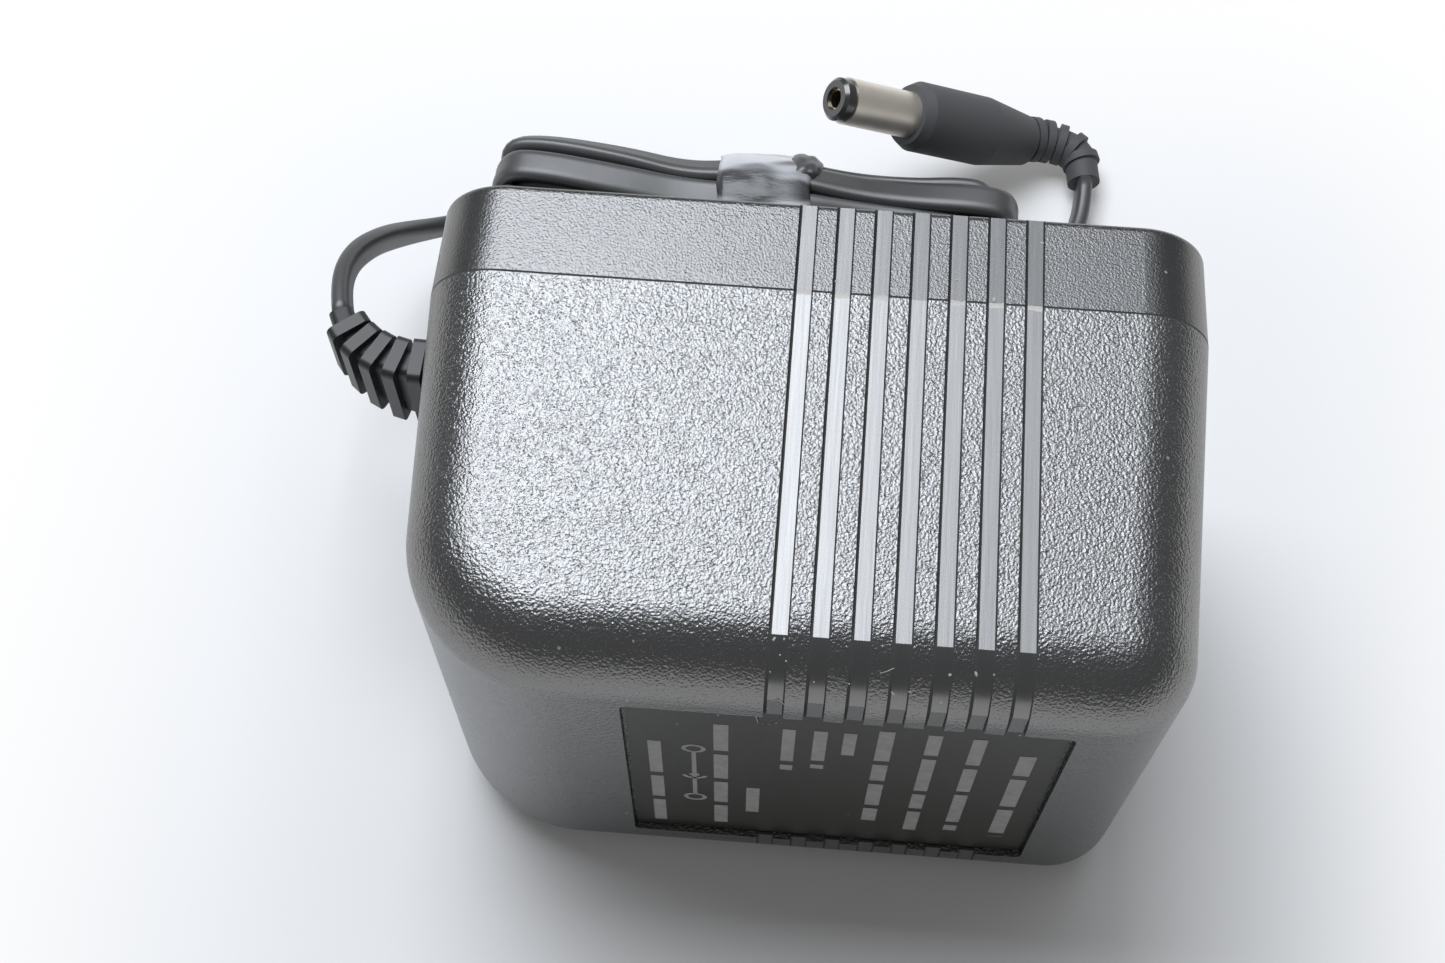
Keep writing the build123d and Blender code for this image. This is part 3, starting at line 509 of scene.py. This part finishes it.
def hank_place(x, layer, angle, reach=1.0):
    """A point on a run of the hank and the way the flat of the cord lies there, in metres."""
    turned = math.radians(angle + HANK_TWIST * x)
    outward = Vector((0, math.cos(turned), math.sin(turned)))
    across = Vector((0, -math.sin(turned), math.cos(turned)))
    point = Vector((x * MM, HANK_Y, HANK_Z)) + outward * run_radius(x, layer) * reach * MM
    return point, across


def run_stations(layer, wound):
    """The places along a run, each with how far out it lies, and the outer ends of its two turns."""
    left = HANK_LEFT_ENDS[layer] + HANK_TUCK * wound
    right = HANK_RIGHT_ENDS[layer] - HANK_TUCK * wound
    left_turn = run_radius(left, layer) * HANK_END_SPAN[layer]
    right_turn = run_radius(right, layer) * HANK_END_SPAN[layer]
    first = left + left_turn
    final = right - right_turn
    between = [x for x in HANK_STATIONS if first + STATION_GAP < x < final - STATION_GAP]
    stations = [
        (left + TURN_SHOULDER * left_turn, HANK_END_REACH[layer]),
        *[(x, 1.0) for x in (first, *between, final)],
        (right - TURN_SHOULDER * right_turn, HANK_END_REACH[layer]),
    ]
    return stations, (left - TURN_POLE * left_turn, right + TURN_POLE * right_turn)


def hank_route():
    """The points of the cord in the hank and the way its flat lies at each."""
    points = []
    wound = [0, 0, 0]
    last = len(HANK_RUNS) - 1
    for number, (layer, angle) in enumerate(HANK_RUNS):
        stations, poles = run_stations(layer, wound[layer])
        wound[layer] += 1
        if number == 0:
            stations = stations[2:]
        if number == last:
            stations = stations[:-2]
        to_right = number % 2 == 0
        sway = random.uniform(-HANK_SWAY, HANK_SWAY)
        for x, reach in stations if to_right else stations[::-1]:
            points.append(hank_place(x, layer, angle + sway, reach))
        within_core = number < last and layer == HANK_RUNS[number + 1][0] == HANK_CORE
        if number < last and not within_core:
            shift = Vector((0, random.uniform(0, POLE_SHIFT), random.uniform(0, POLE_SHIFT))) * MM
            pole = Vector((poles[to_right] * MM, HANK_Y, HANK_Z)) + shift
            points.append((pole, points[-1][1]))
    return points


def heading(places, number):
    """The direction of a line of places at one of them, from its neighbours."""
    before = places[max(number - 1, 0)]
    after = places[min(number + 1, len(places) - 1)]
    return (after - before).normalized()


def square_to(along, way):
    """The direction nearest to a way that is square to another."""
    return (way - along * way.dot(along)).normalized()


def cord_route():
    """The control points of the whole cord and the way its flat lies at each: relief, hank, plug."""
    route = [(point, ON_EDGE) for point in ROUTE_TO_HANK[:-1]]
    route += hank_route()
    route += [(point, ON_EDGE) for point in ROUTE_TO_PLUG]
    points = [point for point, _ in route]
    ways = []
    for number, (_, across) in enumerate(route):
        way = square_to(heading(points, number), across)
        if ways and way.dot(ways[-1]) < 0:
            way = -way
        ways.append(way)
    return points, ways


def spline_points(name, points):
    """The points along a smooth spline that has the given points as its control points."""
    curve = bpy.data.curves.new(name, "CURVE")
    curve.dimensions = "3D"
    curve.resolution_u = CORD_STEPS
    spline = curve.splines.new("NURBS")
    spline.points.add(len(points) - 1)
    for control, point in zip(spline.points, points):
        control.co = (*point, 1.0)
    spline.order_u = 3
    spline.use_endpoint_u = True
    holder = bpy.data.objects.new(name, curve)
    line = bpy.data.meshes.new_from_object(holder)
    places = [vertex.co.copy() for vertex in line.vertices]
    bpy.data.meshes.remove(line)
    bpy.data.objects.remove(holder)
    bpy.data.curves.remove(curve)
    return places


def squared(value, power):
    """A sine or cosine pushed away from zero, which gives a round outline flatter sides."""
    return math.copysign(abs(value) ** power, value)


def cord_section():
    """The outline of two conductors side by side, with a shallow groove between them, in metres."""
    outline = []
    for step in range(CORD_SIDES):
        turn = 2 * math.pi * step / CORD_SIDES
        across = squared(math.cos(turn), CORD_SQUARE_ACROSS) * CORD_WIDTH / 2
        through = squared(math.sin(turn), CORD_SQUARE_THROUGH) * CORD_THICKNESS / 2
        dip = CORD_GROOVE_DEPTH * math.exp(-((across / (CORD_GROOVE_SPREAD * CORD_WIDTH / 2)) ** 2))
        outline.append((across, through * (1 - dip)))
    return outline


def make_cord():
    """The mesh of the whole flat cord, swept along its spline, and the points that it follows."""
    points, ways = cord_route()
    middle = spline_points("cord_line", points)
    edge = spline_points("cord_edge", [point + way * MM for point, way in zip(points, ways)])
    outline = cord_section()
    body = bmesh.new()
    rings = []
    for number, (place, side) in enumerate(zip(middle, edge)):
        along = heading(middle, number)
        way = square_to(along, side - place)
        through = along.cross(way)
        rings.append([body.verts.new(place + way * a + through * t) for a, t in outline])
    skin(body, rings)
    body.faces.new(rings[0][::-1])
    body.faces.new(rings[-1])
    bmesh.ops.recalc_face_normals(body, faces=body.faces)
    return mesh_from(body, "flat_cord", smooth=True), middle


# Tie, in millimetres and degrees: where its tape begins and ends along the hank, how it stands off the runs,
# how close its creases and ragged edges follow each other, and the lump where it is twisted off, with its
# half sizes along, around and out of the hank
TAPE_FROM = -12.4
TAPE_TO = -1.6
TAPE_LIFT = 0.35
TAPE_CREASE = 0.22
TAPE_RAGGED = 0.35
TAPE_WALL = 0.18
CREASE_ALONG = 0.45
CREASE_AROUND = 3.2
RAGGED_START = 7
RAGGED_AROUND = 2.5
TAPE_STEPS = 16
TAPE_SIDES = 72
KNOT_X = -2.6
KNOT_ANGLE = 48
KNOT_HALVES = (2.3, 3.4, 1.5)
KNOT_LUMPS = 0.16
LUMPS_ACROSS = 2.3
KNOT_LIFT = 0.5


def make_tape():
    """The band of tape round the hank, following its outline, a little creased."""
    body = bmesh.new()
    rings = []
    for step in range(TAPE_STEPS + 1):
        share = step / TAPE_STEPS
        x = TAPE_FROM + (TAPE_TO - TAPE_FROM) * share
        lift = TAPE_LIFT * (1 - abs(2 * share - 1) ** 6)
        ring = []
        for i in range(TAPE_SIDES):
            angle = 2 * math.pi * i / TAPE_SIDES
            outward = Vector((0, math.cos(angle), math.sin(angle)))
            crease = TAPE_CREASE * noise.noise(Vector((CREASE_ALONG * x, 0, 0)) + outward * CREASE_AROUND)
            ragged = TAPE_RAGGED * noise.noise(Vector((RAGGED_START, 0, 0)) + outward * RAGGED_AROUND)
            along = x + ragged if step in (0, TAPE_STEPS) else x
            radius = hank_radius(x) + lift + crease
            ring.append(body.verts.new(Vector((along * MM, HANK_Y, HANK_Z)) + outward * radius * MM))
        rings.append(ring)
    skin(body, rings)
    bmesh.ops.recalc_face_normals(body, faces=body.faces)
    tape = new_piece("hank_tape", mesh_from(body, "hank_tape", smooth=True), tape_painted_reflection())
    wall = tape.modifiers.new("film", "SOLIDIFY")
    wall.thickness = TAPE_WALL * MM
    wall.offset = 1.0
    return tape


def make_knot(material):
    """The dark lump where the tape is twisted off, on top of the hank."""
    body = bmesh.new()
    bmesh.ops.create_icosphere(body, subdivisions=4, radius=1.0)
    middle, _ = hank_place(KNOT_X, 0, KNOT_ANGLE - HANK_TWIST * KNOT_X)
    outward = (middle - Vector((KNOT_X * MM, HANK_Y, HANK_Z))).normalized()
    around = outward.cross(Vector((1, 0, 0)))
    half_along, half_around, half_out = KNOT_HALVES
    for vertex in body.verts:
        x, a, out = vertex.co
        lump = 1 + KNOT_LUMPS * noise.noise(vertex.co * LUMPS_ACROSS)
        stretch = Vector((half_along * x, 0, 0)) + around * half_around * a + outward * half_out * out
        vertex.co = middle + (stretch * lump + outward * KNOT_LIFT) * MM
    return new_piece("tape_knot", mesh_from(body, "tape_knot", smooth=True), material)


cord_mesh, cord_path = make_cord()
cord_vinyl = soft_vinyl("cord_vinyl", 0.042, 0.070, 0.38, gloss=1.0)
flat_cord = new_piece("flat_cord", cord_mesh, cord_vinyl)
hank_tape = make_tape()
tape_knot = make_knot(cord_vinyl)
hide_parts("cord_tie")
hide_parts("output_cord", "cord_hank", "plug_lead")

# Print on the label plate, in millimetres: rows of plain pale bars, each row as left, right, top and bottom,
# and a polarity mark of two rings, a dot, an arc and the lines between them
PRINT_GAP = 0.02
PRINT_ROWS = [
    (20.5, 23.0, 40.5, 14.0), (16.0, 18.1, 44.3, 15.0), (12.0, 14.1, 44.5, 13.2), (7.6, 9.9, 44.6, 15.3),
    (4.6, 6.5, 43.3, 37.0), (1.9, 3.9, 43.3, 32.3), (-0.9, 1.0, 43.2, 31.2), (-4.0, -1.9, 24.4, 15.9),
    (-7.2, -5.0, 43.1, 11.7), (-13.3, -11.3, 37.1, 11.1),
]
BAR_SHORTEST = 4.0
BAR_LONGEST = 10.0
BAR_GAP = 1.2
BAR_SHARE = 0.62
MARK_X = -8.65
MARK_SIDES = 28
MARK_RINGS = [(35.6, 1.15), (20.1, 1.15)]
MARK_DOT_Z = 27.5
MARK_DOT_RADIUS = 0.5
MARK_DOT_HOLE = 0.02
MARK_ARC_RADIUS = 1.3
MARK_ARC_SIDES = range(15, 27)
MARK_LINES = [(34.5, 28.0), (27.0, 21.2)]
MARK_LINE_WIDTH = 0.42


def make_print():
    """All the print on the plate as one flat mesh, just in front of it."""
    ink_y = PLATE_Y - PRINT_GAP * MM
    body = bmesh.new()

    def patch(corners):
        body.faces.new([body.verts.new(Vector((x * MM, ink_y, z * MM))) for x, z in corners])

    def bar(x0, x1, z0, z1):
        patch([(x0, z0), (x1, z0), (x1, z1), (x0, z1)])

    def ring(z, outer, inner, sides=range(MARK_SIDES)):
        for side in sides:
            a, b = (2 * math.pi * corner / MARK_SIDES for corner in (side, side + 1))
            patch([
                (MARK_X + r * math.cos(t), z + r * math.sin(t))
                for r, t in ((inner, a), (outer, a), (outer, b), (inner, b))
            ])

    for x0, x1, top, bottom in PRINT_ROWS:
        inset = (x1 - x0) * (1 - BAR_SHARE) / 2
        z = top
        while z > bottom:
            length = random.uniform(BAR_SHORTEST, BAR_LONGEST)
            bar(x0 + inset, x1 - inset, max(z - length, bottom), z)
            z -= length + BAR_GAP
    for z, radius in MARK_RINGS:
        ring(z, radius, radius - MARK_LINE_WIDTH)
    ring(MARK_DOT_Z, MARK_DOT_RADIUS, MARK_DOT_HOLE)
    ring(MARK_DOT_Z, MARK_ARC_RADIUS, MARK_ARC_RADIUS - MARK_LINE_WIDTH, MARK_ARC_SIDES)
    for top, bottom in MARK_LINES:
        bar(MARK_X - MARK_LINE_WIDTH / 2, MARK_X + MARK_LINE_WIDTH / 2, bottom, top)
    bmesh.ops.recalc_face_normals(body, faces=body.faces)
    return new_piece("label_print", mesh_from(body, "label_print"), print_ink())


make_print()

# Crumbs and short fibres, read from the photograph: the place in it in pixels, and for a crumb its
# size in millimetres. Its width and height are shares of that size, and its length and roughness are ranges.
CRUMBS = [
    (774, 639, 0.22), (784, 639, 0.14), (780, 655, 0.14), (786, 661, 0.12), (770, 672, 0.14),
    (814, 682, 0.15), (849, 684, 0.14), (639, 682, 0.13), (627, 700, 0.18), (652, 697, 0.15),
    (693, 703, 0.14), (703, 706, 0.17), (718, 715, 0.15), (831, 716, 0.20), (776, 723, 0.14),
    (677, 724, 0.13), (950, 675, 0.20), (976, 674, 0.26), (994, 675, 0.14), (893, 694, 0.24),
    (910, 692, 0.15), (941, 703, 0.22), (1074, 662, 0.14), (1020, 735, 0.26), (956, 280, 0.18),
    (953, 292, 0.15), (994, 300, 0.34), (836, 281, 0.14), (1042, 243, 0.17),
]
FIBRES = [
    [(880, 673), (887, 671), (894, 668)],
    [(769, 701), (778, 699), (784, 704)],
    [(754, 712), (758, 722), (770, 724)],
]
FIBRE_RADIUS = 0.05 * MM
CRUMB_WIDTH = 0.7
CRUMB_HEIGHT = 0.4
CRUMB_LENGTH = (0.7, 1.5)
CRUMB_ROUGHNESS = (0.7, 1.2)


def case_trees():
    """The outer pieces of the case, ready to be met by a line."""
    trees = []
    for name in ("main_shell", "plug_cover", "rating_label"):
        mesh = nodes[name].data
        corners = [vertex.co.copy() for vertex in mesh.vertices]
        trees.append(BVHTree.FromPolygons(corners, [tuple(face.vertices) for face in mesh.polygons]))
    return trees


def place_on_case(trees, across, down):
    """The point of the case at a place in the photograph, with its outward and two flat directions."""
    aim = CAMERA_FORWARD + (
        CAMERA_RIGHT * (across - IMAGE_WIDTH / 2) + CAMERA_DOWN * (down - IMAGE_HEIGHT / 2)
    ) / FOCAL_PIXELS
    hits = [tree.ray_cast(CAMERA_PLACE, aim.normalized()) for tree in trees]
    point, facing, _, _ = min((hit for hit in hits if hit[0]), key=lambda hit: hit[3])
    side = facing.orthogonal().normalized()
    return point, facing, side, facing.cross(side)


def add_crumb(body, trees, across, down, size):
    """A flat crumb, turned and stretched by chance, with rough sides."""
    point, facing, side, other = place_on_case(trees, across, down)
    turn = random.uniform(0, math.pi)
    longer = random.uniform(*CRUMB_LENGTH)
    along = side * math.cos(turn) + other * math.sin(turn)
    over = other * math.cos(turn) - side * math.sin(turn)
    for vertex in bmesh.ops.create_icosphere(body, subdivisions=1, radius=1.0)["verts"]:
        a, b, c = vertex.co * random.uniform(*CRUMB_ROUGHNESS)
        lump = along * a * longer + over * b * CRUMB_WIDTH + facing * c * CRUMB_HEIGHT
        vertex.co = point + lump * size * MM


def add_fibre(body, trees, places):
    """A thin bent fibre through places in the photograph."""
    rings = []
    for across, down in places:
        point, facing, side, other = place_on_case(trees, across, down)
        rings.append([
            body.verts.new(point + (facing + side * a + other * b) * FIBRE_RADIUS)
            for a, b in ((1, 0), (0, 1), (-1, 0), (0, -1))
        ])
    skin(body, rings)


def make_dust():
    """Crumbs and fibres lying on the case, in one mesh that stays inside the box of the model."""
    trees = case_trees()
    body = bmesh.new()
    for across, down, size in CRUMBS:
        add_crumb(body, trees, across, down, size)
    for places in FIBRES:
        add_fibre(body, trees, places)
    for vertex in body.verts:
        vertex.co = [min(max(c, low), high) for c, low, high in zip(vertex.co, *model_box)]
    grey_dust = plain("dust_grey", (0.55, 0.53, 0.48), 0.7, grain=2500, depth=0.02)
    return new_piece("dust", mesh_from(body, "dust"), grey_dust)


make_dust()

# Stage, in metres: the part of the floor that keeps the shadow, and how far past it the floor turns white
FLOOR_COLOUR = (0.92, 0.92, 0.92, 1)
FLOOR_HALF = 3.0
FLOOR_DROP = 0.2 * MM
SHADOW_HALF_X = 0.045
SHADOW_HALF_Y = 0.040
WHITE_FROM = 0.004
WHITE_TO = 0.055
WORLD_LIGHT = 0.21
WHITE = (1, 1, 1, 1)

# Windows: two soft lamps high behind the case
WINDOW_COLOUR = (0.90, 0.94, 1.0)
WINDOW_LENGTH = 0.64
WINDOW_Y = 0.37
WINDOW_Z = 0.75
WINDOW_AIM_Y = 0.36


def floor_finish():
    """A pale floor that keeps the shadow by the object and is white to the eye away from it."""
    shader = Shader("pale_floor")
    shader.finish(Base_Color=FLOOR_COLOUR, Roughness=0.9, Specular_IOR_Level=0.0)
    x, y, _ = shader.axes()
    beside = (abs(x) - SHADOW_HALF_X).maths("MAXIMUM")
    before = (abs(y) - SHADOW_HALF_Y).maths("MAXIMUM")
    away = (beside * beside + before * before).maths("SQRT")
    seen = shader.node("ShaderNodeLightPath", output="Is Camera Ray")
    mirrored = shader.node("ShaderNodeLightPath", output="Is Glossy Ray")
    through = shader.node("ShaderNodeLightPath", output="Is Transmission Ray")
    shown = seen.maths("MAXIMUM", mirrored).maths("MAXIMUM", through)
    white = shader.node("ShaderNodeEmission", {}, {"Color": WHITE, "Strength": 1.0})
    pale = Socket(shader, shader.surface.outputs[0])
    share = away.smooth(WHITE_FROM, WHITE_TO) * shown
    whole = shader.node("ShaderNodeMixShader", {}, [share, pale, white])
    shader.feed(shader.tree.nodes["Material Output"].inputs["Surface"], whole)
    return shader.owner


def make_floor():
    """The floor, a hair below the case so that the two never share a plane."""
    mesh = bpy.data.meshes.new("floor")
    corners = [(x * FLOOR_HALF, y * FLOOR_HALF, 0) for x, y in ((-1, -1), (1, -1), (1, 1), (-1, 1))]
    mesh.from_pydata(corners, [], [(0, 1, 2, 3)])
    mesh.materials.append(floor_finish())
    floor = bpy.data.objects.new("floor", mesh)
    bpy.context.scene.collection.objects.link(floor)
    floor.location.z = -FLOOR_DROP


def make_world():
    """A world that looks white and lights the object softly."""
    shader = Shader("white_room", world=True)
    seen = shader.node("ShaderNodeLightPath", output="Is Camera Ray")
    strength = WORLD_LIGHT + seen * (1 - WORLD_LIGHT)
    bpy.context.scene.world = shader.finish(Color=WHITE, Strength=strength)


def make_window(name, x, width, power):
    """A soft rectangular lamp at a place along X, turned down toward the floor."""
    data = bpy.data.lights.new(name, "AREA")
    data.shape = "RECTANGLE"
    data.size = width
    data.size_y = WINDOW_LENGTH
    data.energy = power
    data.color = WINDOW_COLOUR
    lamp = bpy.data.objects.new(name, data)
    lamp.location = (x, WINDOW_Y, WINDOW_Z)
    aim = Vector((x, WINDOW_AIM_Y, 0.0)) - lamp.location
    lamp.rotation_euler = aim.to_track_quat("-Z", "Y").to_euler()
    bpy.context.scene.collection.objects.link(lamp)


make_floor()
make_world()
make_window("window_left", x=-0.22, width=0.50, power=7.2)
make_window("window_right", x=0.18, width=0.30, power=0.92)
bpy.context.scene.view_settings.view_transform = "Standard"
